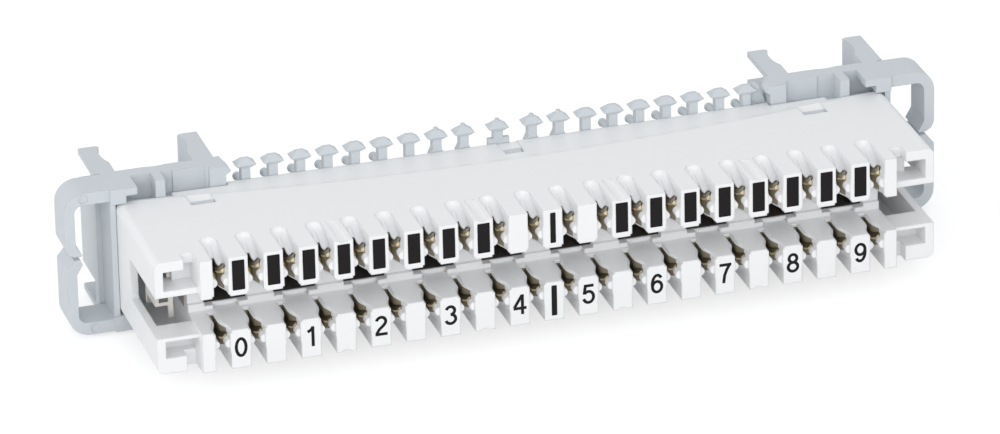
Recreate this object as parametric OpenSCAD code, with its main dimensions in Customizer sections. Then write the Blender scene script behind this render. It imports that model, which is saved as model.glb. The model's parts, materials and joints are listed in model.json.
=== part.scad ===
// Ten-pair punch down block with disconnect contacts. The housing clips onto a
// base that grips two round rods and guides the wires at its back.
// X runs along the rows, Y from the teeth to the back, Z across the two rows.

/* [Contact rows] */
// Pairs of wires that the block joins
pair_count = 10; // [6:1:14]
// Distance from one contact to the next
pitch = 4.8; // [4.6:0.1:5.4]
// Width of one insulating tooth
tooth_w = 2.8; // [2.6:0.1:3.0]
// Height from the mid-plane to the inner side of a tooth
row_inner = 2.5; // [2.4:0.1:3.0]
// Height of a tooth between its inner and its outer side
tooth_h = 5.6; // [5.4:0.1:6.4]
// Width of the slit that holds a wire
slit_w = 0.56; // [0.5:0.02:0.7]
// Depth of the slit behind the tooth tips
slit_depth = 6.1; // [5.8:0.1:6.4]
// Depth at which the funnel in front of the slit starts to narrow
funnel_start = 1.1; // [0.8:0.1:1.4]
// Length over which the funnel narrows
funnel_len = 2.7; // [2.2:0.1:3.0]
// Radius of the nubs that hold a wire between two teeth
nub_r = 0.62; // [0.5:0.02:0.7]
// Length of a nub
nub_len = 1.25; // [1:0.05:1.6]
// Depth of a nub behind the tooth tip
nub_inset = 0.35; // [0.3:0.05:0.6]
// Height of a nub from the mid-plane
nub_z = 4.5; // [4.2:0.1:4.8]
// Every how many teeth one has a groove along its outer side
groove_step = 4; // [2:2:6]
// Width of that groove
groove_w = 1.4; // [1.2:0.1:1.6]
// Depth of that groove
groove_depth = 0.25; // [0.15:0.05:0.35]
// Fall of the wire trough towards the front, in degrees
trough_fall = 21; // [16:1:24]
// Depth to the middle of the round end of a wire trough
trough_depth = 6.1; // [5.8:0.1:6.4]
// Step between the side of a trough and the side of its slot
trough_step = 0.04; // [0.02:0.01:0.08]
// Width of the rim sunk round each slit
rim_w = 0.24; // [0.15:0.01:0.3]
// Depth of that rim
rim_depth = 0.3; // [0.2:0.05:0.4]

/* [Middle channel] */
// Depth of the channel floor behind the tooth tips
channel_depth = 8.0; // [7.8:0.1:8.4]
// Height of the bridges between the openings above the channel floor
bridge_h = 0.4; // [0.3:0.1:0.6]
// Width of a bridge
bridge_w = 3.7; // [3.4:0.1:4]
// Width of a disconnect opening
opening_w = 5.9; // [5.4:0.1:6]
// Height of a disconnect opening
opening_h = 3.8; // [3.4:0.1:4]
// Height of a ledge above the channel floor
ledge_h = 0.9; // [0.7:0.1:1]
// Width of a ledge
ledge_w = 6.1; // [5.8:0.1:6.4]
// Thickness of a ledge
ledge_t = 1.1; // [0.8:0.1:1.2]

/* [Housing] */
// Depth of the housing
housing_depth = 21.5; // [21:0.5:24]
// Wall thickness
wall = 1.1; // [1:0.1:1.3]
// Radius of the long outer edges
edge_r = 1.0; // [0.6:0.1:1.1]
// Depth of the back of the contact chambers
core_depth = 16.0; // [15.8:0.1:16.5]
// Width of the last tooth beyond its own centre line
last_tooth = 0.4; // [0.2:0.1:0.8]
// Width of an end bay
bay_w = 5.8; // [5.4:0.1:7]
// Setback of the end sockets behind the tooth tips
socket_setback = 1.45; // [1:0.05:2]
// Depth of the end socket block
socket_block = 4.15; // [4:0.05:5]
// Depth of the hole in an end socket
socket_hole = 3.1; // [2.6:0.1:3.4]
// Height of the hole in an upper end socket
socket_h = 2.75; // [2.4:0.05:3.2]
// Height of the hole in a lower end socket
socket_h_low = 2.4; // [2.2:0.05:3]
// Height from the mid-plane to the inner side of an end socket
socket_inner = 2.95; // [2.8:0.05:3.2]
// Thickness of the floor of an upper end socket
socket_floor = 0.9; // [0.7:0.1:1]
// Thickness of the floor of a lower end socket
socket_floor_low = 0.55; // [0.5:0.05:0.8]
// Width of the notch in the outer side of an end socket
socket_notch = 1.7; // [1.4:0.1:2.4]
// Depth of that notch
notch_depth = 1.9; // [1.6:0.1:2.2]
// Width of the window at the back of an upper end socket
socket_window = 1.9; // [1.5:0.1:2.2]
// Reach of the rear flange over the base's rail
flange = 2.55; // [2.2:0.05:2.6]
// Play beside an end socket's hole
side_gap = 0.1; // [0.05:0.05:0.3]
// Depth of the cut-out in the end wall
side_cut = 14.8; // [13.8:0.2:15.2]
// Radius of the corners of that cut-out
side_cut_r = 0.5; // [0.3:0.1:1]

/* [Arched rear slope] */
// Depth at which the slope starts on the centre line
slope_start = 16.9; // [16.5:0.1:17.5]
// Radius of the arc along which it starts
slope_arc = 300; // [260:10:400]
// Width of the steeper crest at its start
crest_w = 1.1; // [0.8:0.1:1.4]
// Drop over that crest
crest_drop = 0.24; // [0.15:0.01:0.3]
// Angle of the slope behind the crest
slope_angle = 4.5; // [3:0.5:5]

/* [Latches] */
// Distance of an end latch from the end of the housing
latch_inset = 11.15; // [10.5:0.05:13]
// Width of an end latch window
latch_w = 3.4; // [3:0.1:4]
// Length of an end latch window
latch_len = 1.5; // [1.3:0.1:1.8]
// Depth of an end latch window behind the tooth tips
latch_depth = 17.35; // [17:0.05:17.6]
// Width of the middle latch window
mid_latch_w = 2.7; // [2.4:0.1:3]
// Length of the middle latch window
mid_latch_len = 1.9; // [1.6:0.1:2]
// Depth of the middle latch window behind the tooth tips
mid_latch_depth = 19.6; // [19.4:0.05:19.8]
// Depth of the shallow channel behind the middle latch
channel_sink = 0.12; // [0.08:0.02:0.2]
// Depth of the ramp behind a latch window
latch_ramp = 0.55; // [0.3:0.05:0.7]
// Offset of the middle latch along the rows
mid_latch_x = 1.0; // [0:0.5:2]

/* [Base] */
// Height of the base from the mid-plane
base_half_h = 10.4; // [10:0.1:11]
// Gap between the housing's end and the base's end wall
end_gap = 0.06; // [0.04:0.02:0.2]
// Thickness of the base's end wall
end_wall = 0.79; // [0.6:0.01:1]
// Height of the wire rail from the mid-plane
rail_half_h = 6.9; // [6.7:0.05:6.9]
// Thickness of the rail behind the housing
rail_t = 3.2; // [3.2:0.1:3.8]
// Depth of the back of the beams that carry the clips
beam_back = 26.4; // [26:0.1:27]
// Thickness of those beams
beam_t = 2.1; // [1.8:0.1:2.4]
// Width of the block at the inner end of a beam
beam_block_w = 2.25; // [2:0.05:2.6]
// Reach of that block in front of the beam
beam_block_t = 1.35; // [1:0.05:1.6]
// Reach of a beam past the inner jaw
beam_reach = 0.8; // [0.5:0.1:1.2]
// Offset of the left beam's rib from the middle of its rod
left_rib = 0.35; // [0.2:0.05:1.2]
// Offset of the right beam's rib from the middle of its rod
right_rib = 1.2; // [0.2:0.05:1.4]
// Width of a beam's rib
rib_w = 1.35; // [1.2:0.05:1.6]
// Distance from the middle of a rod to the edge of the beam's raised panel
panel_inset = 1.95; // [1.6:0.05:2.2]
// Thickness of that panel
panel_t = 0.25; // [0.15:0.05:0.4]
// Width of the block over the housing's corner
outer_block_w = 3.75; // [3.4:0.05:4]
// Depth of that block's front behind the tooth tips
outer_block_y = 20.5; // [20:0.1:21]
// Width of the lower part of that block
outer_block_low = 2.2; // [1.8:0.1:2.6]
// Thickness of the lip left over that part
outer_lip = 1.05; // [0.9:0.05:1.2]
// Wall thickness of the tray that closes the contact chambers
tray_wall = 1.2; // [1:0.1:1.4]

/* [Rod clips] */
// Radius of the rods that the clips hold
rod_r = 6; // [5.5:0.25:6.5]
// Distance from the last tooth to the middle of a rod, inwards
rod_inset = 0.5; // [0:0.25:1]
// Thickness of a jaw
jaw_t = 2.9; // [2.4:0.1:3.2]
// Bite of a jaw past the rod's side
jaw_bite = 0.65; // [0.5:0.05:0.9]
// Depth of the rod's groove in the beam
seat_groove = 0.2; // [0.15:0.05:0.4]
// Length of a jaw past the middle of the rod
jaw_past = 2.9; // [2.4:0.1:3.2]
// Rounding of a jaw's inner tip
jaw_tip_r = 0.8; // [0.5:0.1:1]
// Thickness of the lips left at a notched jaw
jaw_lip = 0.8; // [0.6:0.1:1]
// Height from the mid-plane at which a jaw's notch starts
jaw_notch_z = 6.2; // [6:0.1:7]
// Depth of a notch measured from the back of the beam
jaw_notch_root = 2.0; // [1.5:0.1:2.5]

/* [Wire rings] */
// Width of a ring's opening
ring_w = 4.9; // [4.4:0.1:7]
// Thickness of a ring's arms
ring_arm = 1.75; // [1.4:0.05:2]
// Thickness of a ring's outer side
ring_side = 1.45; // [1.2:0.05:1.8]
// Depth of a ring along the block's depth
ring_depth = 5.2; // [4:0.1:5.4]
// Distance from the housing's back to a ring's front
ring_front = 0.6; // [0.4:0.1:1]
// Outer corner radius of a ring
ring_r = 3; // [2:0.1:4]
// Inner corner radius of a ring
ring_inner_r = 1.2; // [0.8:0.1:2]
// Width of the slit through a ring's side
ring_slit = 0.5; // [0.4:0.1:1]
// Reach of the beaks beside the slit into the ring
ring_beak = 0.85; // [0.5:0.05:1.2]
// Height of that slit above the mid-plane
ring_slit_z = 1.0; // [0:0.1:2]
// Radius of the round marks sunk into the left ring
mark_r = 0.65; // [0.5:0.05:0.8]
// Depth of those marks
mark_depth = 0.12; // [0.05:0.01:0.2]

/* [Wire guides] */
// Posts on each side of the middle post
side_posts = 9; // [5:1:9]
// Distance from one post to the next
post_pitch = 3.82; // [3.7:0.02:4]
// Distance from the middle post to the first one beside it
post_mid_gap = 4.83; // [4.5:0.01:5.2]
// Width of a post's stem
post_w = 1.22; // [1:0.02:1.4]
// Thickness of a post's stem
post_t = 1.3; // [1:0.1:1.6]
// Width of a post's arrow head
head_w = 2.85; // [2.4:0.05:3]
// Height of an arrow head
head_h = 1.3; // [1.1:0.1:1.6]
// Radius of the ball on a rear pin
ball_r = 0.62; // [0.5:0.02:0.7]
// Radius of a rear pin
pin_r = 0.42; // [0.35:0.01:0.45]
// Length of a rear pin behind the rail
pin_len = 4.3; // [3.5:0.1:5]
// Height of an outer rear pin from the mid-plane
pin_z = 5.8; // [5.6:0.1:6]
// Radius of the knob on top of a post near the middle
knob_r = 0.32; // [0.25:0.01:0.4]
// Reach of a stem's foot to each side near the middle
foot_flare = 0.45; // [0.3:0.05:0.6]
// Width of the low block round the middle post
mid_foot_w = 3; // [2.6:0.1:3.4]
// Height of that block above the rail
mid_foot_h = 1.2; // [0.8:0.1:1.4]
// Lean of the fin beside the last post on the right
fin_lean = 1.4; // [1:0.1:1.6]
// Thickness of that fin at its top
fin_t = 0.8; // [0.6:0.1:1]
// Distance of that fin's top below the post's
fin_drop = 0.5; // [0.4:0.1:0.8]

/* [Contacts] */
// Thickness of the contact sheet
sheet_t = 0.5; // [0.4:0.05:0.5]
// Height of a contact from the mid-plane
contact_z = 4.8; // [4.7:0.1:5]
// Width of a contact's fork
fork_w = 3.9; // [3.6:0.1:4]
// Depth of the fork's tips behind the tooth tips
fork_front = 1.7; // [1.7:0.1:2.2]
// Length of the slit in the fork
fork_slit = 5.1; // [4.6:0.1:5.4]
// Width of the slit in the fork
fork_slit_w = 0.3; // [0.2:0.02:0.36]
// Depth of the fork's root
fork_root = 9.6; // [9:0.1:10]
// Width of the spring tongue
tongue_w = 1.8; // [1.6:0.1:2]
// Thickness of the spring tongue
tongue_t = 0.4; // [0.3:0.05:0.45]
// Width of the bar of the earth contact
earth_w = 0.7; // [0.6:0.1:1]
// Distance of the earth contact from the last tooth
earth_inset = 1.95; // [1.6:0.05:2.2]
// Depth of the earth contact's bar behind the end sockets
earth_setback = 1.6; // [1.2:0.1:2]
// Depth of its shelf
shelf_depth = 1.8; // [1.4:0.1:2.4]
// Distance of that shelf below the mid-plane
shelf_drop = 0.5; // [0.3:0.1:0.8]
// Length of its side leaf behind the shelf
leaf_len = 3.2; // [2.8:0.1:3.4]
// Height of its leaves above the mid-plane
leaf_top = 1; // [0.8:0.1:1.2]
// Reach of its rear leaf below the mid-plane
leaf_drop = 2.4; // [2:0.1:2.6]
// Gap round a contact in its chamber
contact_gap = 0.08; // [0.05:0.01:0.12]
// Gap between housing and base where they fit together
seat_gap = 0.1; // [0.05:0.01:0.15]

/* [Hidden] */
$fn = 48;
gap_w = pitch - tooth_w;
row_outer = row_inner + tooth_h;
row_half = pair_count * pitch;
core_half = row_half + last_tooth;
housing_half = core_half + bay_w;
rod_x = row_half - rod_inset;
rod_y = beam_back + rod_r - seat_groove;
depth = rod_y + jaw_past;
jaw_in = rod_r - jaw_bite;
jaw_out = jaw_in + jaw_t;
chamber_w = tongue_w + 0.6;
tray_front = core_depth + seat_gap;
rail_front = housing_depth + seat_gap;
rail_back = rail_front + rail_t;
beam_front = beam_back - beam_t;
beam_in = rod_x - jaw_out - beam_reach;
base_half = housing_half + end_gap + end_wall;
ring_y = housing_depth - ring_front;
eps = 0.01;
upper_names = [for (i = [1 : 2 * pair_count]) str("upper_contact_", i)];
lower_names = [for (i = [1 : 2 * pair_count]) str("lower_contact_", i)];

// Middle of the slot to the right of tooth i, counted from the left end.
function slot_x(i) = (i - pair_count - 0.5) * pitch;

// Half the width of the funnel at a depth behind the tooth tips.
function funnel_half(y, extra) =
    let (t = min(1, max(0, (y - funnel_start) / funnel_len)))
    extra + gap_w / 2 - (gap_w - slit_w) / 4 * (1 - cos(180 * t));

module place() translate([0, -depth / 2, 0]) children();
module both_rows() { children(); mirror([0, 0, 1]) children(); }
module both_ends() { children(); mirror([1, 0, 0]) children(); }

// Extrusions of an outline drawn in the plane across the named axis.
module along_x(x0, x1) translate([x0, 0, 0]) rotate([90, 0, 90]) linear_extrude(x1 - x0) children();
module along_y(y0, y1) translate([0, y1, 0]) rotate([90, 0, 0]) linear_extrude(y1 - y0) children();
module along_z(z0, z1) translate([0, 0, z0]) linear_extrude(z1 - z0) children();
module block(x0, x1, y0, y1, z0, z1) translate([x0, y0, z0]) cube([x1 - x0, y1 - y0, z1 - z0]);

// A rectangle about the origin with round corners.
module rounded(half_x, half_y, r) {
    square([2 * half_x, 2 * (half_y - r)], center = true);
    square([2 * (half_x - r), 2 * half_y], center = true);
    for (sx = [-1, 1], sy = [-1, 1]) translate([sx * (half_x - r), sy * (half_y - r)]) circle(r);
}

// ---- Housing ----

// Plan of one slot: a funnel that narrows in an S-curve to the slit.
module slot_plan(extra = 0) {
    steps = 6;
    ys = concat([-1], [for (i = [0 : steps]) funnel_start + funnel_len * i / steps], [slit_depth + extra]);
    polygon(concat([for (y = ys) [funnel_half(y, extra), y]],
                   [for (i = [len(ys) - 1 : -1 : 0]) [-funnel_half(ys[i], extra), ys[i]]]));
}

// Trough that leads a wire from the outer side down into the slot.
module trough() {
    run = trough_depth + 1;
    r = gap_w / 2 + trough_step;
    translate([0, trough_depth, row_outer]) {
        sphere(r);
        rotate([90 + trough_fall, 0, 0]) cylinder(h = run / cos(trough_fall), r = r);
    }
    along_x(-r - trough_step, r + trough_step) polygon([
        [trough_depth, row_outer + 1], [trough_depth, row_outer],
        [-1, row_outer - run * tan(trough_fall)], [-1, row_outer + 1]]);
}

module slot_cut() {
    along_z(row_inner - 1, row_outer + 1) slot_plan();
    along_z(row_inner - 1, row_inner + rim_depth) slot_plan(rim_w);
    trough();
}

module nub_pair() {
    for (side = [-1, 1]) translate([side * gap_w / 2, nub_inset + nub_len, nub_z])
        rotate([90, 0, 0]) cylinder(h = nub_len, r = nub_r);
}

// Shallow round groove along the outer side of a tooth.
module tooth_groove() {
    r = (groove_w * groove_w / 4 + groove_depth * groove_depth) / (2 * groove_depth);
    translate([0, trough_depth + 0.3, row_outer - groove_depth + r])
        rotate([90, 0, 0]) cylinder(h = trough_depth + 1, r = r);
}

module tooth_row() {
    difference() {
        block(-core_half, core_half, 0, channel_depth + eps, row_inner, row_outer);
        for (i = [1 : 2 * pair_count]) translate([slot_x(i), 0, 0]) slot_cut();
        for (k = [groove_step : groove_step : 2 * pair_count - 1])
            translate([(k - pair_count) * pitch, 0, 0]) tooth_groove();
    }
    for (i = [1 : 2 * pair_count]) translate([slot_x(i), 0, 0]) nub_pair();
}

// Tilted slot that carries the edges of a fork, from the teeth to the back.
module contact_slot() {
    translate([0, 0, contact_z]) rotate([0, -45, 0])
        block(-fork_w / 2 - contact_gap, fork_w / 2 + contact_gap, fork_front - contact_gap,
              core_depth + 1, -sheet_t / 2 - contact_gap, sheet_t / 2 + contact_gap);
}

// Square chamber behind it for the spring tongue.
module contact_chamber() {
    block(-chamber_w / 2, chamber_w / 2, channel_depth + wall, core_depth + 1,
          -eps, contact_z + tongue_t / 2 + 0.4);
}

module housing_core() {
    difference() {
        union() {
            block(-core_half, core_half, channel_depth, core_depth, -row_outer, row_outer);
            for (k = [0 : 2 : 2 * pair_count]) intersection() {
                translate([(k - pair_count) * pitch, 0, 0]) {
                    block(-bridge_w / 2, bridge_w / 2, channel_depth - bridge_h, channel_depth + eps,
                          -row_inner, row_inner);
                    both_rows() block(-ledge_w / 2, ledge_w / 2, channel_depth - ledge_h,
                                      channel_depth + eps, row_inner - ledge_t, row_inner + eps);
                }
                block(-core_half, core_half, 0, core_depth, -row_outer, row_outer);
            }
        }
        for (k = [1 : 2 : 2 * pair_count]) translate([(k - pair_count) * pitch, 0, 0])
            block(-opening_w / 2, opening_w / 2, 0, core_depth - 1, -opening_h / 2, opening_h / 2);
        for (i = [1 : 2 * pair_count]) translate([slot_x(i), 0, 0]) {
            contact_chamber();
            mirror([0, 0, 1]) contact_chamber();
        }
    }
}

// Thin outer wall, open at the back and round the middle of each end.
module housing_shell() {
    front = socket_setback + socket_block;
    difference() {
        along_y(front, housing_depth) rounded(housing_half, row_outer, edge_r);
        block(-housing_half + wall, housing_half - wall, front - 1, housing_depth + 1,
              -row_outer + wall, row_outer - wall);
        block(-core_half + eps, core_half - eps, front - 1, channel_depth + eps,
              -row_outer - 1, row_outer + 1);
        both_ends() along_x(housing_half - wall - 1, housing_half + 1) side_cut_outline();
    }
}

module side_cut_outline() {
    difference() {
        translate([0, -socket_inner]) square([side_cut, 2 * socket_inner]);
        for (s = [-1, 1]) difference() {
            translate([side_cut - side_cut_r, s * (socket_inner - side_cut_r / 2) - side_cut_r / 2 - eps])
                square([side_cut_r + eps, side_cut_r + 2 * eps]);
            translate([side_cut - side_cut_r, s * (socket_inner - side_cut_r)]) circle(side_cut_r);
        }
    }
}

// Socket at the end of a row, hooked over at its outer side.
module end_socket(floor_t, hole_h, back_open) {
    x0 = core_half + side_gap;
    x1 = housing_half - wall - side_gap;
    z0 = socket_inner + floor_t;
    back = socket_setback + socket_block;
    difference() {
        intersection() {
            block(core_half - eps, housing_half, socket_setback, back + eps, socket_inner, row_outer);
            along_y(0, housing_depth) rounded(housing_half, row_outer, edge_r);
        }
        block(x0, x1, 0, socket_setback + socket_hole, z0, z0 + hole_h);
        block(x0, x0 + socket_notch, 0, socket_setback + notch_depth, z0 + hole_h - eps, row_outer + 1);
        if (back_open) block(x1 - socket_window, x1, 0, back + 1, z0, z0 + hole_h);
    }
}

// Height of the housing's sloping back on the centre line.
function slope_z(y) = row_outer - crest_drop - (y - slope_start - crest_w) * tan(slope_angle);

// Ring-shaped cut that leaves the arched crest and the slope behind it.
module rear_slope() {
    inner = slope_arc - 20;
    translate([0, slope_start + slope_arc, 0]) rotate_extrude($fn = 400) polygon([
        [inner, row_outer + 1], [inner, slope_z(slope_start + 20)],
        [slope_arc - crest_w, row_outer - crest_drop],
        [slope_arc + crest_w, row_outer + crest_drop], [slope_arc + crest_w, row_outer + 1]]);
}

// Flange behind the shell that covers the rail, stepped round the clips' blocks.
module rear_flange() along_z(row_outer - wall, row_outer) {
    half = beam_in - 2 * seat_gap;
    step = rod_x - rib_w;
    translate([-half, housing_depth - eps]) square([2 * half, flange + eps]);
    translate([-step, housing_depth - eps])
        square([2 * step, beam_front - beam_block_t - 2 * seat_gap - housing_depth + eps]);
}

// Window for a latch hook, with a ramp sunk into the face behind it.
module latch_window(w, len, y0, ramp_end) {
    block(-w / 2, w / 2, y0, y0 + len, row_outer - wall - 1, row_outer + 1);
    along_x(-w / 2, w / 2) polygon([
        [y0 + len - eps, row_outer - latch_ramp], [ramp_end, row_outer - eps],
        [ramp_end, row_outer + 1], [y0 + len - eps, row_outer + 1]]);
}

module latch_windows() {
    both_ends() translate([housing_half - latch_inset, 0, 0])
        latch_window(latch_w, latch_len, latch_depth, latch_depth + 2.6 * latch_len);
    translate([mid_latch_x, 0, 0]) {
        y0 = mid_latch_depth + mid_latch_len;
        y1 = housing_depth + flange + 1;
        block(-mid_latch_w / 2, mid_latch_w / 2, mid_latch_depth, y0, row_outer - wall - 1, row_outer + 1);
        along_x(-mid_latch_w / 2 - channel_sink, mid_latch_w / 2 + channel_sink) polygon([
            [y0 - channel_sink, slope_z(y0) - channel_sink], [y1, slope_z(y1) - channel_sink],
            [y1, row_outer + 1], [y0 - channel_sink, row_outer + 1]]);
    }
}

module terminal_housing() color("white") place() difference() {
    union() {
        housing_shell();
        housing_core();
        both_rows() {
            tooth_row();
            rear_flange();
        }
        both_ends() {
            end_socket(socket_floor, socket_h, true);
            mirror([0, 0, 1]) end_socket(socket_floor_low, socket_h_low, false);
        }
    }
    both_rows() {
        rear_slope();
        latch_windows();
    }
    for (i = [1 : 2 * pair_count], turn = [0, 180]) translate([slot_x(i), 0, 0])
        rotate([0, turn, 0]) contact_slot();
}

// ---- Base ----

module arrow_head(half_w, top_half) {
    z0 = base_half_h - head_h;
    intersection() {
        along_y(rail_back - 1.6, rail_back + 1.6) polygon([
            [-post_w / 2, z0], [post_w / 2, z0], [half_w, z0 + 0.5], [top_half, base_half_h],
            [-top_half, base_half_h], [-half_w, z0 + 0.5]]);
        translate([0, rail_back, 0]) along_x(-half_w, half_w) polygon([
            [-post_t / 2, z0], [post_t / 2, z0], [post_t / 2 + 0.35, z0 + 0.5], [0.25, base_half_h],
            [-0.25, base_half_h], [-post_t / 2 - 0.35, z0 + 0.5]]);
    }
}

module wire_post() {
    block(-post_w / 2, post_w / 2, rail_back - post_t / 2, rail_back + post_t / 2,
          rail_half_h - 1, base_half_h - head_h + eps);
    arrow_head(head_w / 2, 0.5);
}

// Foot that widens a stem to both sides.
module post_flare() along_y(rail_back - post_t / 2, rail_back + post_t / 2) polygon([
    [-post_w / 2 - foot_flare, rail_half_h - eps], [post_w / 2 + foot_flare, rail_half_h - eps],
    [post_w / 2, rail_half_h + 2 * foot_flare], [-post_w / 2, rail_half_h + 2 * foot_flare]]);

module rear_pin(z) {
    translate([0, rail_back - 1, z]) rotate([-90, 0, 0]) cylinder(h = pin_len + 1, r = pin_r);
    translate([0, rail_back + pin_len, z]) sphere(ball_r);
}

function post_x(i) = i == 0 ? 0 : sign(i) * (post_mid_gap + (abs(i) - 1) * post_pitch);

module wire_rail() {
    block(-housing_half + wall, housing_half - wall, rail_front, rail_back, -rail_half_h, rail_half_h);
    both_rows() {
        for (i = [-side_posts : side_posts]) translate([post_x(i), 0, 0]) {
            wire_post();
            if (abs(i) > 3) rear_pin(pin_z);
            if (abs(i) < 3) {
                post_flare();
                translate([0, rail_back, base_half_h - 0.2]) cylinder(h = knob_r + 0.2, r = knob_r);
            }
        }
        block(-mid_foot_w / 2, mid_foot_w / 2, rail_back - post_t / 2, rail_back,
              rail_half_h - eps, rail_half_h + mid_foot_h);
    }
}

// Tray inside the housing that keeps the contacts in their chambers.
module tray() {
    half_x = core_half - seat_gap;
    half_z = row_outer - wall - seat_gap;
    difference() {
        block(-half_x, half_x, tray_front, rail_front + eps, -half_z, half_z);
        both_rows() for (s = [-1, 1]) block(
            s * half_x / 2 - half_x / 2 + tray_wall, s * half_x / 2 + half_x / 2 - tray_wall,
            tray_front - 1, rail_front + tray_wall, tray_wall / 2, contact_z - tray_wall / 2);
    }
}

module latch_hooks() {
    hook_top = row_outer - 0.25;
    tray_top = row_outer - wall - seat_gap;
    both_rows() {
        both_ends() translate([housing_half - latch_inset, 0, 0])
            along_x(-latch_w / 2 + seat_gap, latch_w / 2 - seat_gap) polygon([
                [latch_depth + seat_gap, tray_top - 0.5], [latch_depth + latch_len - seat_gap, tray_top - 0.5],
                [latch_depth + latch_len - seat_gap, hook_top], [latch_depth + latch_len - 0.6, hook_top],
                [latch_depth + seat_gap, tray_top]]);
        translate([mid_latch_x, 0, 0])
            along_x(-mid_latch_w / 2 + seat_gap, mid_latch_w / 2 - seat_gap) polygon([
                [mid_latch_depth + seat_gap, tray_top - 0.5],
                [mid_latch_depth + mid_latch_len - seat_gap, tray_top - 0.5],
                [mid_latch_depth + mid_latch_len - seat_gap, tray_top + 0.55],
                [mid_latch_depth + seat_gap, tray_top]]);
    }
}

module jaw_plan() {
    difference() {
        union() {
            translate([jaw_in, beam_back - eps]) square([jaw_t, depth - jaw_tip_r - beam_back + eps]);
            translate([jaw_in + jaw_tip_r, depth - 2 * jaw_tip_r])
                square([jaw_t - jaw_tip_r, 2 * jaw_tip_r]);
            translate([jaw_in + jaw_tip_r, depth - jaw_tip_r]) circle(jaw_tip_r);
        }
        translate([0, rod_y]) circle(rod_r, $fn = 96);
    }
}

module rod_clip() {
    translate([rod_x, 0, 0]) {
        along_z(-base_half_h, base_half_h) jaw_plan();
        mirror([1, 0, 0]) along_z(-base_half_h, base_half_h) jaw_plan();
    }
}

module jaw_notch(side) {
    x0 = side * rod_x - jaw_out - 1;
    both_rows() block(x0, x0 + jaw_t + 2, beam_back + jaw_notch_root, depth + 1,
                      jaw_notch_z, base_half_h - jaw_lip);
}

// Half of an arrow head on the side of a block, drawn towards the middle.
module half_arrow() {
    polygon([[0, base_half_h], [0, base_half_h - head_h], [-head_w / 4, base_half_h - 0.62 * head_h],
             [-0.1, base_half_h]]);
}

module clip_beam() {
    both_rows() {
        block(beam_in, base_half, beam_front, beam_back, -eps, base_half_h);
        translate([beam_in, 0, 0]) {
            block(0, beam_block_w, beam_front - beam_block_t, beam_back, rail_half_h - 1, base_half_h);
            along_y(beam_front - beam_block_t, beam_front + 1) half_arrow();
        }
        block(beam_in, rod_x - panel_inset, beam_front - panel_t, beam_front + eps,
              rail_half_h - eps, base_half_h);
        translate([beam_in + beam_block_w, beam_front - panel_t, 0])
            cylinder(h = base_half_h, r = 2 * panel_t);
        outer_block();
    }
}

// Rib across the front of a beam, at x.
module beam_rib(x) both_rows() block(x - rib_w / 2, x + rib_w / 2, rail_front, beam_front + eps,
                                     rail_half_h - 1, base_half_h);

// Fin behind the last post on the right that leans towards the clip.
module right_fin() {
    x = post_x(side_posts) + post_w / 2;
    foot = beam_in + seat_gap;
    top = base_half_h - fin_drop;
    both_rows() along_y(rail_back, beam_back - eps) polygon([
        [x - seat_gap, rail_half_h - 1], [foot, rail_half_h - 1], [foot, rail_half_h],
        [x + fin_lean, top], [x + fin_lean - fin_t, top], [x - seat_gap, rail_half_h + 1]]);
}

// Block over the housing's corner, undercut towards the rod.
module outer_block() {
    block(base_half - outer_block_w, base_half, outer_block_y, beam_front + eps,
          base_half_h - outer_lip, base_half_h);
    block(base_half - outer_block_low, base_half, outer_block_y, beam_front + eps,
          row_outer + 0.15, base_half_h);
    block(base_half - end_wall, base_half, ring_y, beam_back, -eps, base_half_h);
}

module wire_ring() {
    x0 = base_half;
    x1 = base_half + ring_w + ring_side;
    half_z = base_half_h - ring_arm;
    along_y(ring_y, ring_y + ring_depth) difference() {
        union() {
            translate([x0 - ring_r, 0]) rounded(x1 - x0 + ring_r, base_half_h, ring_r);
        }
        translate([x0 - ring_r - ring_w - 20, -20]) square([20 + ring_r + ring_w - end_wall, 40]);
        difference() {
            translate([x0 - ring_inner_r, 0]) rounded(ring_w + ring_inner_r, half_z, ring_inner_r);
            translate([x0 - 20, -20]) square([20, 40]);
        }
    }
}

// Opening in a ring's side through which a wire is pressed in.
module ring_slit_cut() {
    x0 = base_half + ring_w;
    x1 = x0 + ring_side;
    z0 = ring_slit_z - ring_slit / 2;
    z1 = ring_slit_z + ring_slit / 2;
    along_y(ring_y - 1, ring_y + ring_depth + 1) polygon([
        [x0 - 2, z0], [x0 + 0.3, z0], [x1, z0 - 1.4], [x1 + 1, z0 - 1.4],
        [x1 + 1, z1 + 1.4], [x1, z1 + 1.4], [x1 - 0.4, z1 + 0.5], [x0 + 0.3, z1], [x0 - 2, z1]]);
}

// Beaks on both sides of the slit that keep a wire in the ring.
module ring_beaks() {
    x0 = base_half + ring_w;
    z0 = ring_slit_z - ring_slit / 2;
    z1 = ring_slit_z + ring_slit / 2;
    along_y(ring_y, ring_y + ring_depth) {
        polygon([[x0 + eps, z0 - 2.2], [x0 - ring_beak, z0 - 0.7], [x0 - ring_beak + 0.3, z0], [x0 + 0.4, z0]]);
        polygon([[x0 + eps, z1 + 1.6], [x0 - ring_beak, z1 + 0.1], [x0 - ring_beak + 0.1, z1], [x0 + 0.4, z1]]);
    }
}

// Round marks that the moulding pins leave on the left ring.
module ring_marks() {
    arm_z = base_half_h - ring_arm / 2;
    for (p = [[ring_w - 1.3, arm_z], [ring_w - 2.2, -arm_z]])
        translate([-base_half - p[0], ring_y + mark_depth, p[1]])
            rotate([90, 0, 0]) cylinder(h = 1, r = mark_r);
}

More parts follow.
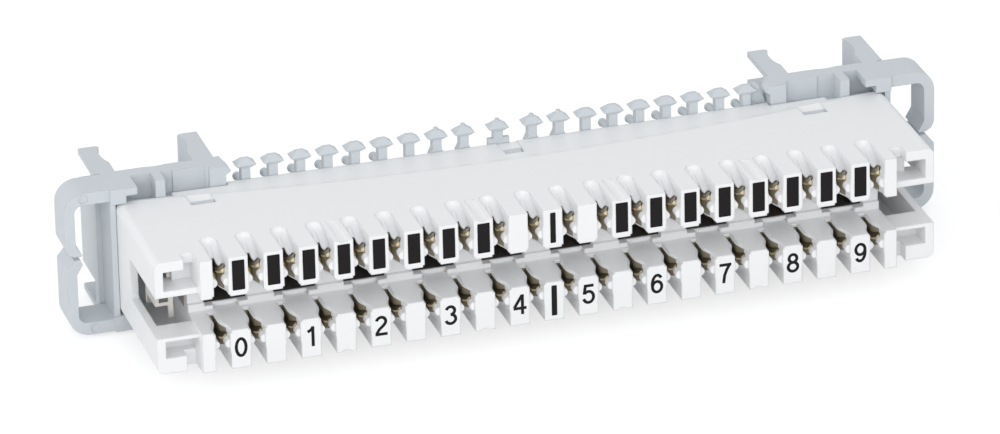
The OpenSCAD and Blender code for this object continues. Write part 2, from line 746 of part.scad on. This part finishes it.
module wire_base() color("silver") place() difference() {
    union() {
        wire_rail();
        tray();
        latch_hooks();
        beam_rib(-rod_x - left_rib);
        beam_rib(rod_x + right_rib);
        right_fin();
        both_ends() {
            clip_beam();
            rod_clip();
            wire_ring();
            ring_beaks();
        }
    }
    both_ends() {
        ring_slit_cut();
        translate([rod_x, rod_y, -base_half_h - 1]) cylinder(h = 2 * base_half_h + 2, r = rod_r, $fn = 96);
    }
    for (side = [-1, 1]) jaw_notch(side);
    ring_marks();
}

// ---- Contacts ----

// Fork that cuts through a wire's insulation, drawn flat.
module fork_plan() {
    half = fork_w / 2;
    slit_end = fork_front + fork_slit;
    difference() {
        polygon([
            [-half, fork_root], [-half, fork_front + 0.7], [-half + 0.6, fork_front],
            [-0.8, fork_front], [-fork_slit_w / 2, fork_front + 1.3], [-fork_slit_w / 2, slit_end],
            [fork_slit_w / 2, slit_end], [fork_slit_w / 2, fork_front + 1.3], [0.8, fork_front],
            [half - 0.6, fork_front], [half, fork_front + 0.7], [half, fork_root],
            [tongue_w / 2, fork_root + 1], [tongue_w / 2, fork_root + 3],
            [-tongue_w / 2, fork_root + 3], [-tongue_w / 2, fork_root + 1]]);
        translate([0, slit_end]) circle(fork_slit_w);
    }
}

// One straight stretch of bent strip with round ends.
module strip(p, q) {
    run = q - p;
    translate(p) rotate(atan2(run[1], run[0])) translate([0, -tongue_t / 2]) square([norm(run), tongue_t]);
    translate(p) circle(tongue_t / 2);
    translate(q) circle(tongue_t / 2);
}

// Side view of the spring tongue, from the fork's tail to the mid-plane.
module tongue_profile() {
    back = core_depth - tongue_t / 2;
    touch = tongue_t / 2 + contact_gap / 2;
    path = [[fork_root + 1.4, contact_z], [back - 0.8, contact_z], [back, contact_z - 0.8],
            [back, contact_z - 2.2], [back - 0.8, contact_z - 3], [11.4, touch], [10.6, touch], [9.3, 1.2]];
    for (i = [0 : len(path) - 2]) strip(path[i], path[i + 1]);
}

module contact() color("goldenrod") {
    translate([0, 0, contact_z]) rotate([0, -45, 0]) along_z(-sheet_t / 2, sheet_t / 2) fork_plan();
    along_x(-tongue_w / 2, tongue_w / 2) tongue_profile();
}

module upper_contact(i) place() translate([slot_x(i), 0, 0]) contact();
module lower_contact(i) place() translate([slot_x(i), 0, 0]) rotate([0, 180, 0]) contact();

// Earth contact in the left end bay, folded from one sheet: a bar behind the
// sockets, a shelf with a side leaf and a rear leaf, and a leg back to the base.
module left_earth_contact() color("goldenrod") place() mirror([1, 0, 0]) {
    x0 = core_half + earth_inset;
    x1 = x0 + earth_w;
    x2 = housing_half - wall - 3 * side_gap;
    y0 = socket_setback + socket_block + earth_setback;
    y1 = y0 + shelf_depth;
    y2 = y1 + leaf_len;
    shelf_z = -shelf_drop - sheet_t;
    block(x0, x1, y0, y0 + sheet_t, -socket_inner + contact_gap, row_outer - wall - 1);
    block(x0, x2, y0, y1, shelf_z, -shelf_drop);
    block(x2 - sheet_t, x2, y0, y2, shelf_z, leaf_top);
    block(x0, x2, y2 - sheet_t, y2, -leaf_drop, leaf_top);
    block(x0, x0 + sheet_t, y0, rail_front - contact_gap, shelf_z, leaf_top);
}

wire_base();
terminal_housing();
left_earth_contact();
for (i = [1 : 2 * pair_count]) upper_contact(i);
for (i = [1 : 2 * pair_count]) lower_contact(i);
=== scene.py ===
# %% [markdown]
# # A punch down wiring block
# A white housing carries two rows of insulating teeth with a split contact in every gap. It sits
# on a grey base that grips two round rods and guides the wires. The solids come from the packed
# frame, which is never moved. This notebook gives each solid its finish, prints the marks and the
# pair numbers on the teeth, and sets up the stage, the light and the camera.

# %% Load the frame
import json
import math

import bpy
from mathutils import Matrix, Vector


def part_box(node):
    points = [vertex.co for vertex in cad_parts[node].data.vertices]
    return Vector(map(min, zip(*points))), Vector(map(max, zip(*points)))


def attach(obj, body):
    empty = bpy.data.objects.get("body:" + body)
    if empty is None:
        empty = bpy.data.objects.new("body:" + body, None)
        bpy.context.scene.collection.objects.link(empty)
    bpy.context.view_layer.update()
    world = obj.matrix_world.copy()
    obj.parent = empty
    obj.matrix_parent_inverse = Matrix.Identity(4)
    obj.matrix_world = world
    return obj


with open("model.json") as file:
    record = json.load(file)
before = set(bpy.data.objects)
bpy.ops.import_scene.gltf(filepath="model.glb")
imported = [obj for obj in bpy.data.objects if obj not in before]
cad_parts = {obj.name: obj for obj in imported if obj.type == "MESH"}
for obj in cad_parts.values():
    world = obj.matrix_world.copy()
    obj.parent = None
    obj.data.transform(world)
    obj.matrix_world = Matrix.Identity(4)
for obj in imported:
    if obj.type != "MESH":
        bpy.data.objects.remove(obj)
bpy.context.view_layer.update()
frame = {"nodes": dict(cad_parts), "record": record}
MM = 0.001
nodes = frame["nodes"]

# %% [markdown]
# ## Places on the rows
# Each contact sits in the middle of a gap between two teeth, so the boxes of two neighbouring
# contacts give the pitch, and a tooth stands half a pitch from each of them. The front of the
# teeth is the lowest Y of the housing. Reading these from the frame keeps the print on the teeth
# if the part is ever built in another size.

# %% Measure the rows
def middle_x(name):
    low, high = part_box(name)
    return (low.x + high.x) / 2


pair_count = sum(name.startswith("upper_contact_") for name in nodes) // 2
pitch = middle_x("upper_contact_2") - middle_x("upper_contact_1")
front_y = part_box("terminal_housing")[0].y
row_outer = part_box("terminal_housing")[1].z
TOOTH_HEIGHT = 5.6 * MM
row_middle = row_outer - TOOTH_HEIGHT / 2
row_end = middle_x(f"upper_contact_{2 * pair_count}") + pitch / 2


def tooth_x(k):
    """Middle of tooth k, counted from the left end, where tooth 0 is half a tooth."""
    return middle_x("upper_contact_1") + (k - 0.5) * pitch


print(f"{pair_count} pairs, pitch {pitch / MM:.2f} mm, tooth middles at z {row_middle / MM:.2f} mm")

# %% [markdown]
# ## Sums with shader sockets
# A material is a net of nodes, and even a small formula takes many of them. This small class
# wraps one socket and overloads the operators, so that a formula is written as a formula and adds
# its own Math nodes.

# %% A socket that can be used in sums
class Value:
    def __init__(self, net, socket):
        self.net, self.socket = net, socket

    def _sum(self, operation, a, b):
        return self.net.node("Math", {"operation": operation}, {0: a, 1: b})

    def __add__(self, other):
        return self._sum("ADD", self, other)

    def __sub__(self, other):
        return self._sum("SUBTRACT", self, other)

    def __rsub__(self, other):
        return self._sum("SUBTRACT", other, self)

    def __mul__(self, other):
        return self._sum("MULTIPLY", self, other)

    def __abs__(self):
        return self.net.node("Math", {"operation": "ABSOLUTE"}, {0: self})

    def __gt__(self, other):
        return self._sum("GREATER_THAN", self, other)

    def __lt__(self, other):
        return self._sum("LESS_THAN", self, other)

    __radd__, __rmul__ = __add__, __mul__


# %% A material and the one way to add a node to it
class Net:
    """The nodes of a material or of the world."""

    def __init__(self, owner):
        self.owner = owner
        owner.use_nodes = True
        self.tree = owner.node_tree
        self.tree.nodes.clear()

    def node(self, kind, settings=None, inputs=None, output=0):
        """Adds a node: first its settings, then the values or links of its sockets."""
        added = self.tree.nodes.new("ShaderNode" + kind)
        for key, value in (settings or {}).items():
            setattr(added, key, value)
        for key, value in (inputs or {}).items():
            if isinstance(value, Value):
                self.tree.links.new(value.socket, added.inputs[key])
            else:
                added.inputs[key].default_value = value
        return Value(self, added.outputs[output]) if added.outputs else self.owner

    def object_place(self):
        return self.node("TexCoord", output="Object")

    def along(self, axis):
        """Place along X, Y or Z in millimetres, read from the object's own coordinates."""
        parts = self.node("SeparateXYZ", None, {0: self.object_place()}, output=axis)
        return parts * (1 / MM)

    def inside(self, low, high):
        """1 inside a box given by its corners in millimetres, 0 outside it."""
        mask = 1.0
        for axis in range(3):
            place = self.along(axis)
            mask = (place > low[axis]) * (place < high[axis]) * mask
        return mask

    def noise(self, scale, detail=2.0, roughness=0.5):
        """Cloudy pattern with `scale` waves a millimetre."""
        return self.node("TexNoise", None, {"Vector": self.object_place(), "Scale": scale / MM,
                                            "Detail": detail, "Roughness": roughness})

    def mix(self, factor, a, b):
        """Colour a where the factor is 0, colour b where it is 1."""
        return self.node("Mix", {"data_type": "RGBA"}, {0: factor, 6: a, 7: b}, output=2)


def new_material(name):
    return Net(bpy.data.materials.new(name))


print("helpers ready")

# %% [markdown]
# ## Moulded plastic
# Both plastics come out of a polished steel mould: even in colour, satin, with a grain so fine
# that it only softens the gloss, and with edges that are never quite sharp. A Bevel node rounds
# the edges for the light alone, which gives each edge its thin bright line and leaves the solid
# as it is. Faint clouds in the colour and the roughness keep large faces from looking computed.
#
# Light reaches the slots behind the nubs, the narrow slits and the chambers behind the openings
# only by many bounces, and there a renderer makes white plastic glow, so their shade is painted
# into the colour. An Ambient Occlusion node finds the slits. Boxes in the block's own coordinates
# find the slots, which repeat with the pitch, the chambers and the bays of the earth contacts. All
# of them turn the plastic to a painted brown-grey shade, each to its own tone.

# %% A plastic from its colour and its gloss
# Painted shade colours: the darkest for the slits and the chambers, a brown for the slot walls, a
# warm grey for the bays of the earth contacts.
PAINTED_CREVICE_SHADE = (0.055, 0.047, 0.038, 1)
SLOT_SHADE = (0.30, 0.262, 0.185, 1)
BAY_SHADE = (0.33, 0.30, 0.27, 1)
FRONT, PITCH, END = front_y / MM, pitch / MM, row_end / MM
TROUGH_SLOPE = 0.384
SLOT_TOP = 4.55
SLOT_HALF_WIDTH = 1.06


def slot_shade_area(net):
    """1 on the walls of the slots between the nubs and the trough, on both rows: where the slot's
    painted shade goes.
    """
    x, y, z = net.along(0), net.along(1), abs(net.along(2))
    across = abs(net.node("Math", {"operation": "WRAP"}, {0: x, 1: 0.0, 2: PITCH}) - PITCH / 2)
    under_trough = (z - y * TROUGH_SLOPE) < (SLOT_TOP - FRONT * TROUGH_SLOPE)
    return ((across < SLOT_HALF_WIDTH) * (abs(x) < END) * (y > FRONT + 1.75) * (y < FRONT + 8.0)
            * (z > 2.86) * under_trough)


def bay_shade_area(net):
    """1 on the walls of the bays of the earth contacts, beside both rows: where the bay's painted
    shade goes.
    """
    x, y, z = abs(net.along(0)), net.along(1), abs(net.along(2))
    return (x > END + 0.4) * (y > FRONT + 9.2) * (z < 2.6) * (x < END + 4.2) * (y < FRONT + 20)


def slit_shade_area(net):
    """1 where a slit gets its painted shade, being open to the dark gap behind it: not behind the
    troughs or round the rows.
    """
    x, y, z = abs(net.along(0)), net.along(1), abs(net.along(2))
    closed = (y > FRONT + 4.1) * (z > 5.6)
    return (x < END + 0.5) * (1 - closed)


def moulded_plastic(name, colour, shade, roughness, edge_mm, grain):
    net = new_material(name)
    clouds = net.noise(0.05, 3.0)
    fine = net.noise(9.0, 2.0)
    rounded = net.node("Bevel", {"samples": 6}, {"Radius": edge_mm * MM})
    flow = net.noise(0.35, 2.0)
    bump = net.node("Bump", None, {"Strength": grain, "Distance": 0.01 * MM,
                                   "Height": fine + flow * 0.6, "Normal": rounded})
    # Painted shade: the AO node finds the slits and a box finds the chambers, and both darken the
    # plastic to the crevice colour.
    open_share = net.node("AmbientOcclusion", {"samples": 8}, {"Distance": 0.9 * MM}, output=1)
    slit_shade = net.node("MapRange", None, {"Value": open_share, "From Min": 0.16, "From Max": 0.42,
                                       "To Min": 0.85, "To Max": 0.0})
    chamber_shade = net.inside((-END, FRONT + 8.3, -2.2), (END, FRONT + 24, 2.2))
    shaded = net.node("Math", {"operation": "MAXIMUM"},
                      {0: slit_shade * slit_shade_area(net), 1: chamber_shade * 0.97})
    # Painted shade: the slot walls and the bays of the earth contacts turn to their brown shades.
    tone_with_painted_shade = net.mix(slot_shade_area(net), net.mix(clouds, shade, colour), SLOT_SHADE)
    tone_with_painted_shade = net.mix(bay_shade_area(net) * 0.85, tone_with_painted_shade, BAY_SHADE)
    surface = net.node("BsdfPrincipled", None, {
        "Base Color": net.mix(shaded, tone_with_painted_shade, PAINTED_CREVICE_SHADE),
        "Roughness": roughness - 0.03 + fine * 0.04 + clouds * 0.03,
        "IOR": 1.49,
        "Normal": bump,
    })
    return net.node("OutputMaterial", None, {"Surface": surface})


housing_plastic = moulded_plastic("housing_plastic", (0.90, 0.903, 0.91, 1), (0.885, 0.89, 0.90, 1),
                                  0.34, 0.24, 0.25)
base_plastic = moulded_plastic("base_plastic", (0.62, 0.66, 0.69, 1), (0.60, 0.64, 0.67, 1),
                               0.42, 0.14, 0.35)
print("plastics:", housing_plastic.name, base_plastic.name)

# %% [markdown]
# ## Contact metal
# The contacts are stamped from plated brass strip. Rolled strip has fine parallel lines. The
# contacts in the gaps are painted a dull dark brown with random patches, a painted shade of the
# gaps, and the cut edges at the fork's tips are painted a bright gold, partly bare brass and partly
# a painted glint. The earth contact beside the rows keeps a paler colour, without that painted
# shade. The noise is stretched along one axis for the rolling lines. The forks stand at 45 degrees,
# so an edge is where the surface doesn't face along that direction.

# %% Stamped strip
def stamped_strip():
    net = new_material("contact_metal")
    stretched = net.node("Mapping", None, {"Vector": net.object_place(), "Scale": (1.0, 0.08, 1.0)})
    lines = net.node("TexNoise", None, {"Vector": stretched, "Scale": 14 / MM, "Detail": 2.0})
    tarnish = net.noise(0.8, 3.0, 0.6)
    facing = net.node("TexCoord", output="Normal")
    across = net.node("VectorMath", {"operation": "DOT_PRODUCT"},
                      {0: facing, 1: (0.7071, 0, -0.7071)}, output="Value")
    # Painted glint: cut edges near the front of the forks are painted a bright gold, partly the bare
    # brass of the cut and partly a painted highlight.
    cut_edge_glint = (abs(across) < 0.5) * (net.along(1) < FRONT + 3.6) * (abs(net.along(0)) < END)
    rounded = net.node("Bevel", {"samples": 4}, {"Radius": 0.06 * MM})
    bump = net.node("Bump", None, {"Strength": 0.3, "Distance": 0.005 * MM, "Height": lines,
                                   "Normal": rounded})
    # Painted shade: the contacts in the gaps get a dark brown, and the earth contact beside the rows
    # keeps a paler colour without it.
    metal_with_gap_shade = net.mix(tarnish, (0.44, 0.40, 0.31, 1), (0.31, 0.28, 0.21, 1))
    beside_the_rows = abs(net.along(0)) > END
    metal_with_gap_shade = net.mix(beside_the_rows, metal_with_gap_shade, (0.74, 0.715, 0.67, 1))
    surface = net.node("BsdfPrincipled", None, {
        "Base Color": net.mix(cut_edge_glint, metal_with_gap_shade, (0.93, 0.80, 0.55, 1)),
        "Metallic": 1.0,
        "Roughness": 0.30 + tarnish * 0.14 + lines * 0.06,
        "Normal": bump,
    })
    return net.node("OutputMaterial", None, {"Surface": surface})


contact_metal = stamped_strip()
print("metal:", contact_metal.name)

# %% Give every solid its finish
finishes = {"housing_plastic": housing_plastic, "base_plastic": base_plastic,
            "contact_metal": contact_metal}
for row in frame["record"]["subparts"]:
    mesh = nodes[row["node"]].data
    mesh.materials.clear()
    mesh.materials.append(finishes[row["material_slot"]])

# %% [markdown]
# ## Printed marks
# Black marks are stamped on the fronts of the upper teeth with a hot foil, and a thin line marks
# the middle of both rows. Each mark starts as a plane at its size, gets its corners cut by a small
# bevel, and becomes a film a few hundredths of a millimetre thick, so that it lies on the tooth.

# %% Print finish
def printed_ink():
    net = new_material("printed_ink")
    grain = net.noise(4.0, 3.0, 0.6)
    bump = net.node("Bump", None, {"Strength": 0.4, "Distance": 0.01 * MM, "Height": grain})
    surface = net.node("BsdfPrincipled", None, {
        "Base Color": net.mix(grain, (0.005, 0.004, 0.0045, 1), (0.013, 0.010, 0.011, 1)),
        "Roughness": 0.5 + grain * 0.2,
        "Specular IOR Level": 0.2,
        "Normal": bump,
    })
    return net.node("OutputMaterial", None, {"Surface": surface})


ink = printed_ink()
FILM = 0.03 * MM
LIFT = 0.01 * MM


def settle(piece, name, finish):
    """Puts the object's place into its mesh, names it, finishes it and lets it ride on the block."""
    bpy.ops.object.select_all(action="DESELECT")
    piece.select_set(True)
    bpy.context.view_layer.objects.active = piece
    bpy.ops.object.transform_apply(location=True, rotation=True, scale=True)
    piece.name = name
    piece.data.name = name
    piece.data.materials.clear()
    piece.data.materials.append(finish)
    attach(piece, "root")
    return piece


# %% The first mark and the first line
def flat_mark(name, width, height):
    """A thin plate with small round corners, standing in the plane of the tooth fronts."""
    bpy.ops.object.select_all(action="DESELECT")
    bpy.ops.mesh.primitive_plane_add(size=1, rotation=(math.pi / 2, 0, 0))
    mark = bpy.context.object
    mark.name = name
    mark.scale = (width, height, 1)
    bpy.ops.object.transform_apply(location=False, rotation=True, scale=True)
    bpy.ops.object.mode_set(mode="EDIT")
    bpy.ops.mesh.select_all(action="SELECT")
    bpy.ops.mesh.bevel(offset=0.1 * MM, segments=2, affect="VERTICES")
    bpy.ops.mesh.select_all(action="SELECT")
    bpy.ops.mesh.extrude_region_move(TRANSFORM_OT_translate={"value": (0, -FILM, 0)})
    bpy.ops.mesh.select_all(action="SELECT")
    bpy.ops.mesh.normals_make_consistent(inside=False)
    bpy.ops.object.mode_set(mode="OBJECT")
    return mark


mark_pattern = flat_mark("mark_pattern", 1.7 * MM, 4.3 * MM)
line_pattern = flat_mark("line_pattern", 0.75 * MM, 4.4 * MM)
print("patterns:", mark_pattern.name, line_pattern.name)


# %% A copy of a pattern on each tooth that carries one
def copy_of(pattern):
    """A duplicate with a mesh of its own."""
    bpy.ops.object.select_all(action="DESELECT")
    pattern.select_set(True)
    bpy.context.view_layer.objects.active = pattern
    bpy.ops.object.duplicate(linked=False)
    return bpy.context.object


def print_copy(pattern, name, x, z):
    copy = copy_of(pattern)
    copy.location = (x, front_y - LIFT, z)
    return settle(copy, name, ink)


mark_z = row_middle + 0.12 * MM
middle_tooth = pair_count
for k in range(1, 2 * pair_count):
    if abs(k - middle_tooth) > 1:
        print_copy(mark_pattern, f"tooth_mark_{k}", tooth_x(k), mark_z)
for row, z in (("upper", mark_z), ("lower", -row_middle + 0.05 * MM)):
    print_copy(line_pattern, f"{row}_middle_line", tooth_x(middle_tooth), z)
for pattern in (mark_pattern, line_pattern):
    bpy.data.objects.remove(pattern)

# %% [markdown]
# ## Pair numbers
# The lower row carries the numbers of the ten pairs, from 0 to 9, one on every second tooth, in a
# plain upright face with strokes of one width. The built-in font draws a 1 without its flag, so
# each number is written as a few strokes instead: straight pieces and arcs of an ellipse. A curve
# follows each stroke, its round bevel gives the width, and pressing the whole flat turns it into
# a film of ink. A 9 is a 6 turned round.

# %% The strokes of each number
DIGIT_HEIGHT = 2.9
STROKE = 0.43
TOP = (DIGIT_HEIGHT - STROKE) / 2
EDGE = DIGIT_HEIGHT / 2


def arc(x, z, wide, high, start, end, steps=16):
    """Points on an ellipse round x, z, from one angle to the other, in degrees."""
    turn = [math.radians(start + (end - start) * i / steps) for i in range(steps + 1)]
    return [(x + wide * math.cos(a), z + high * math.sin(a)) for a in turn]


six = [arc(0, -0.46, 0.65, TOP - 0.46, 0, 360, 24), arc(0.04, -0.04, 0.71, TOP + 0.04, 42, 200)]
numbers = [
    [arc(0, 0, 0.66, TOP, 0, 360, 28)],
    [[(0.22, EDGE), (0.22, -EDGE)], [(0.26, EDGE - 0.12), (-0.08, 0.93), (-0.50, 0.70)]],
    [arc(0, 0.62, 0.63, TOP - 0.62, 170, -28) + [(0.34, 0.02), (-0.30, -0.55), (-0.62, -1.10)],
     [(-0.82, -TOP), (0.84, -TOP)]],
    [arc(-0.02, 0.66, 0.58, TOP - 0.66, 165, -90), arc(0, -0.58, 0.68, TOP - 0.58, 90, -165)],
    [[(0.36, EDGE), (0.36, -EDGE)], [(-0.88, -0.55), (0.92, -0.55)],
     [(0.30, EDGE - 0.12), (-0.80, -0.45)]],
    [[(-0.46, TOP), (0.70, TOP)], [(-0.42, EDGE), (-0.62, 0.02)],
     arc(-0.02, -0.42, 0.70, TOP - 0.42, 140, -165)],
    six,
    [[(-0.80, TOP), (0.86, TOP)], [(0.72, EDGE - 0.1), (0.22, 0.50), (-0.08, -0.30), (-0.22, -EDGE)]],
    [arc(0, 0.66, 0.55, TOP - 0.66, 0, 360, 24), arc(0, -0.58, 0.68, TOP - 0.58, 0, 360, 24)],
    [[(-x, -z) for x, z in stroke] for stroke in six],
]
print("numbers drawn:", len(numbers))

# %% Numbers on the lower teeth
digit_z = -row_middle + 0.2 * MM


def front_digit(digit, x):
    bpy.ops.object.select_all(action="DESELECT")
    bpy.ops.curve.primitive_bezier_curve_add()
    pen = bpy.context.object
    pen.data.splines.clear()
    for stroke in numbers[digit % 10]:
        ring = math.dist(stroke[0], stroke[-1]) < 0.001
        points = stroke[:-1] if ring else stroke
        spline = pen.data.splines.new("POLY")
        spline.points.add(len(points) - 1)
        for point, (across, up) in zip(spline.points, points):
            point.co = (across * MM, 0, up * MM, 1)
        spline.use_cyclic_u = ring
    pen.data.bevel_depth = STROKE / 2 * MM
    pen.data.bevel_resolution = 2
    pen.data.use_fill_caps = True
    bpy.ops.object.convert(target="MESH")
    pen = bpy.context.object
    pen.scale = (1, FILM / (STROKE * MM), 1)
    pen.location = (x, front_y - LIFT, digit_z)
    return settle(pen, f"pair_number_{digit}", ink)


for digit in range(pair_count):
    front_digit(digit, tooth_x(2 * digit + 1))
print("numbers printed:", pair_count)

# %% [markdown]
# ## Trough floors
# A wire lies in a shallow trough behind each slit, and the plastic is closed under the back end of
# that trough. Small floors close the slit there. A ray from above finds the height of the trough
# beside one slit at two places, which gives the floor its length and its slope.

# %% The first floor
FLOOR_START = 4.3 * MM
FLOOR_END = 6.3 * MM
FLOOR_WIDTH = 0.60 * MM
FLOOR_THICKNESS = 0.5 * MM
FLOOR_DROP = 0.02 * MM
housing = nodes["terminal_housing"]


def trough_z(y):
    beside = middle_x("upper_contact_5") + 0.34 * MM
    place = housing.ray_cast((beside, y, row_outer + 5 * MM), (0, 0, -1))[1]
    return place.z


low_y, high_y = front_y + FLOOR_START, front_y + FLOOR_END
low_z, high_z = trough_z(low_y), trough_z(high_y)
floor_length = math.dist((low_y, low_z), (high_y, high_z))
bpy.ops.object.select_all(action="DESELECT")
bpy.ops.mesh.primitive_cube_add(size=1, location=(0, floor_length / 2, -FLOOR_THICKNESS / 2))
floor_pattern = bpy.context.object
floor_pattern.scale = (FLOOR_WIDTH, floor_length, FLOOR_THICKNESS)
bpy.ops.object.transform_apply(location=True, rotation=True, scale=True)
bpy.ops.object.mode_set(mode="EDIT")
bpy.ops.mesh.select_all(action="SELECT")
bpy.ops.mesh.bevel(offset=0.04 * MM, segments=2, affect="EDGES")
bpy.ops.object.mode_set(mode="OBJECT")
floor_pattern.rotation_euler = (math.atan2(high_z - low_z, high_y - low_y), 0, 0)
bpy.ops.object.transform_apply(location=False, rotation=True, scale=False)
print(f"trough at z {low_z / MM:.2f} and {high_z / MM:.2f} mm, floor {floor_length / MM:.2f} mm long")

# %% A floor in every trough of both rows
for i in range(1, 2 * pair_count + 1):
    for row, side in (("upper", 1), ("lower", -1)):
        copy = copy_of(floor_pattern)
        copy.rotation_euler = (0, 0 if side > 0 else math.pi, 0)
        copy.location = (middle_x(f"{row}_contact_{i}"), low_y, side * (low_z - FLOOR_DROP))
        settle(copy, f"{row}_trough_floor_{i}", housing_plastic)
bpy.data.objects.remove(floor_pattern)

# %% [markdown]
# ## Stage and light
# The block lies on a seamless white ground. Towards the camera the ground shows half of the light
# that falls on it and a steady glow of its own, so that it stays white and keeps only a faint
# shadow, while the block sees plain white paper. A soft lamp in front and to the left and a low
# wide one in front light the teeth and the channel between the rows, a weak one lights the top
# and one the left end. An even white world fills the shadows. To gloss and to the camera that
# world is full white, as the backdrop of a studio is.

# %% Ground
floor_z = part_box("wire_base")[0].z - 0.2 * MM
bpy.ops.object.select_all(action="DESELECT")
bpy.ops.mesh.primitive_plane_add(size=6, location=(0, 0, floor_z))
ground = bpy.context.object
ground.name = "ground"
paper = new_material("white_ground")
seen = paper.node("LightPath", output="Is Camera Ray")
sheet = paper.node("BsdfPrincipled", None, {"Base Color": (0.92, 0.92, 0.92, 1), "Roughness": 0.9})
faint = paper.node("BsdfDiffuse", None, {"Color": (0.50, 0.50, 0.50, 1)})
glow = paper.node("Emission", None, {"Color": (1, 1, 1, 1), "Strength": 0.64})
backdrop = paper.node("AddShader", None, {0: faint, 1: glow})
either = paper.node("MixShader", None, {0: seen, 1: sheet, 2: backdrop})
ground.data.materials.append(paper.node("OutputMaterial", None, {"Surface": either}))
print("ground at", round(floor_z / MM, 2), "mm")

# %% World
FILL = 0.645
world = bpy.data.worlds.new("studio_air")
bpy.context.scene.world = world
air = Net(world)
seen = air.node("LightPath", output="Is Camera Ray")
mirrored = air.node("LightPath", output="Is Glossy Ray")
full_white = air.node("Math", {"operation": "MAXIMUM"}, {0: seen, 1: mirrored})
strength = full_white * (1.0 - FILL) + FILL
sky = air.node("Background", None, {"Color": (0.97, 0.985, 1.0, 1), "Strength": strength})
air.node("OutputWorld", None, {"Surface": sky})
print("world fill", FILL)


# %% Lamps
def soft_lamp(name, place, size, power, aim=(0, 0, 0)):
    bpy.ops.object.light_add(type="AREA", location=place)
    lamp = bpy.context.object
    lamp.name = name
    lamp.data.shape = "RECTANGLE"
    lamp.data.size, lamp.data.size_y = size
    lamp.data.energy = power
    lamp.rotation_euler = (Vector(aim) - lamp.location).to_track_quat("-Z", "Y").to_euler()
    return lamp


soft_lamp("front_lamp", (-0.42, -0.52, 0.34), (0.5, 0.4), 1.20)
soft_lamp("top_lamp", (0.1, 0.10, 0.6), (0.6, 0.4), 0.3)
soft_lamp("left_lamp", (-0.62, -0.05, 0.12), (0.35, 0.35), 0.52)
soft_lamp("low_lamp", (0.05, -0.60, 0.22), (0.7, 0.2), 0.76)
bpy.context.scene.view_settings.view_transform = "Standard"

# %% [markdown]
# ## Camera
# A long lens stands about a metre away, in front, to the left and above, so that the rows run
# across the frame with little perspective.

# %% Camera
azimuth = math.radians(-16.70)
elevation = math.radians(25.13)
roll = math.radians(-1.237)
distance = 1003.8 * MM
target = Vector((-2.07, front_y / MM + 17.4, -0.38)) * MM
turn = Matrix.Rotation(azimuth, 4, "Z") @ Matrix.Rotation(math.pi / 2 - elevation, 4, "X")
turn = turn @ Matrix.Rotation(roll, 4, "Z")
bpy.ops.object.camera_add()
camera = bpy.context.object
camera.name = "camera"
camera.data.sensor_width = 36
camera.data.lens = 268.3
camera.data.clip_start = 0.05
camera.matrix_world = Matrix.Translation(target) @ turn @ Matrix.Translation((0, 0, distance))
bpy.context.scene.camera = camera
print("camera at", [round(v, 3) for v in camera.matrix_world.translation])
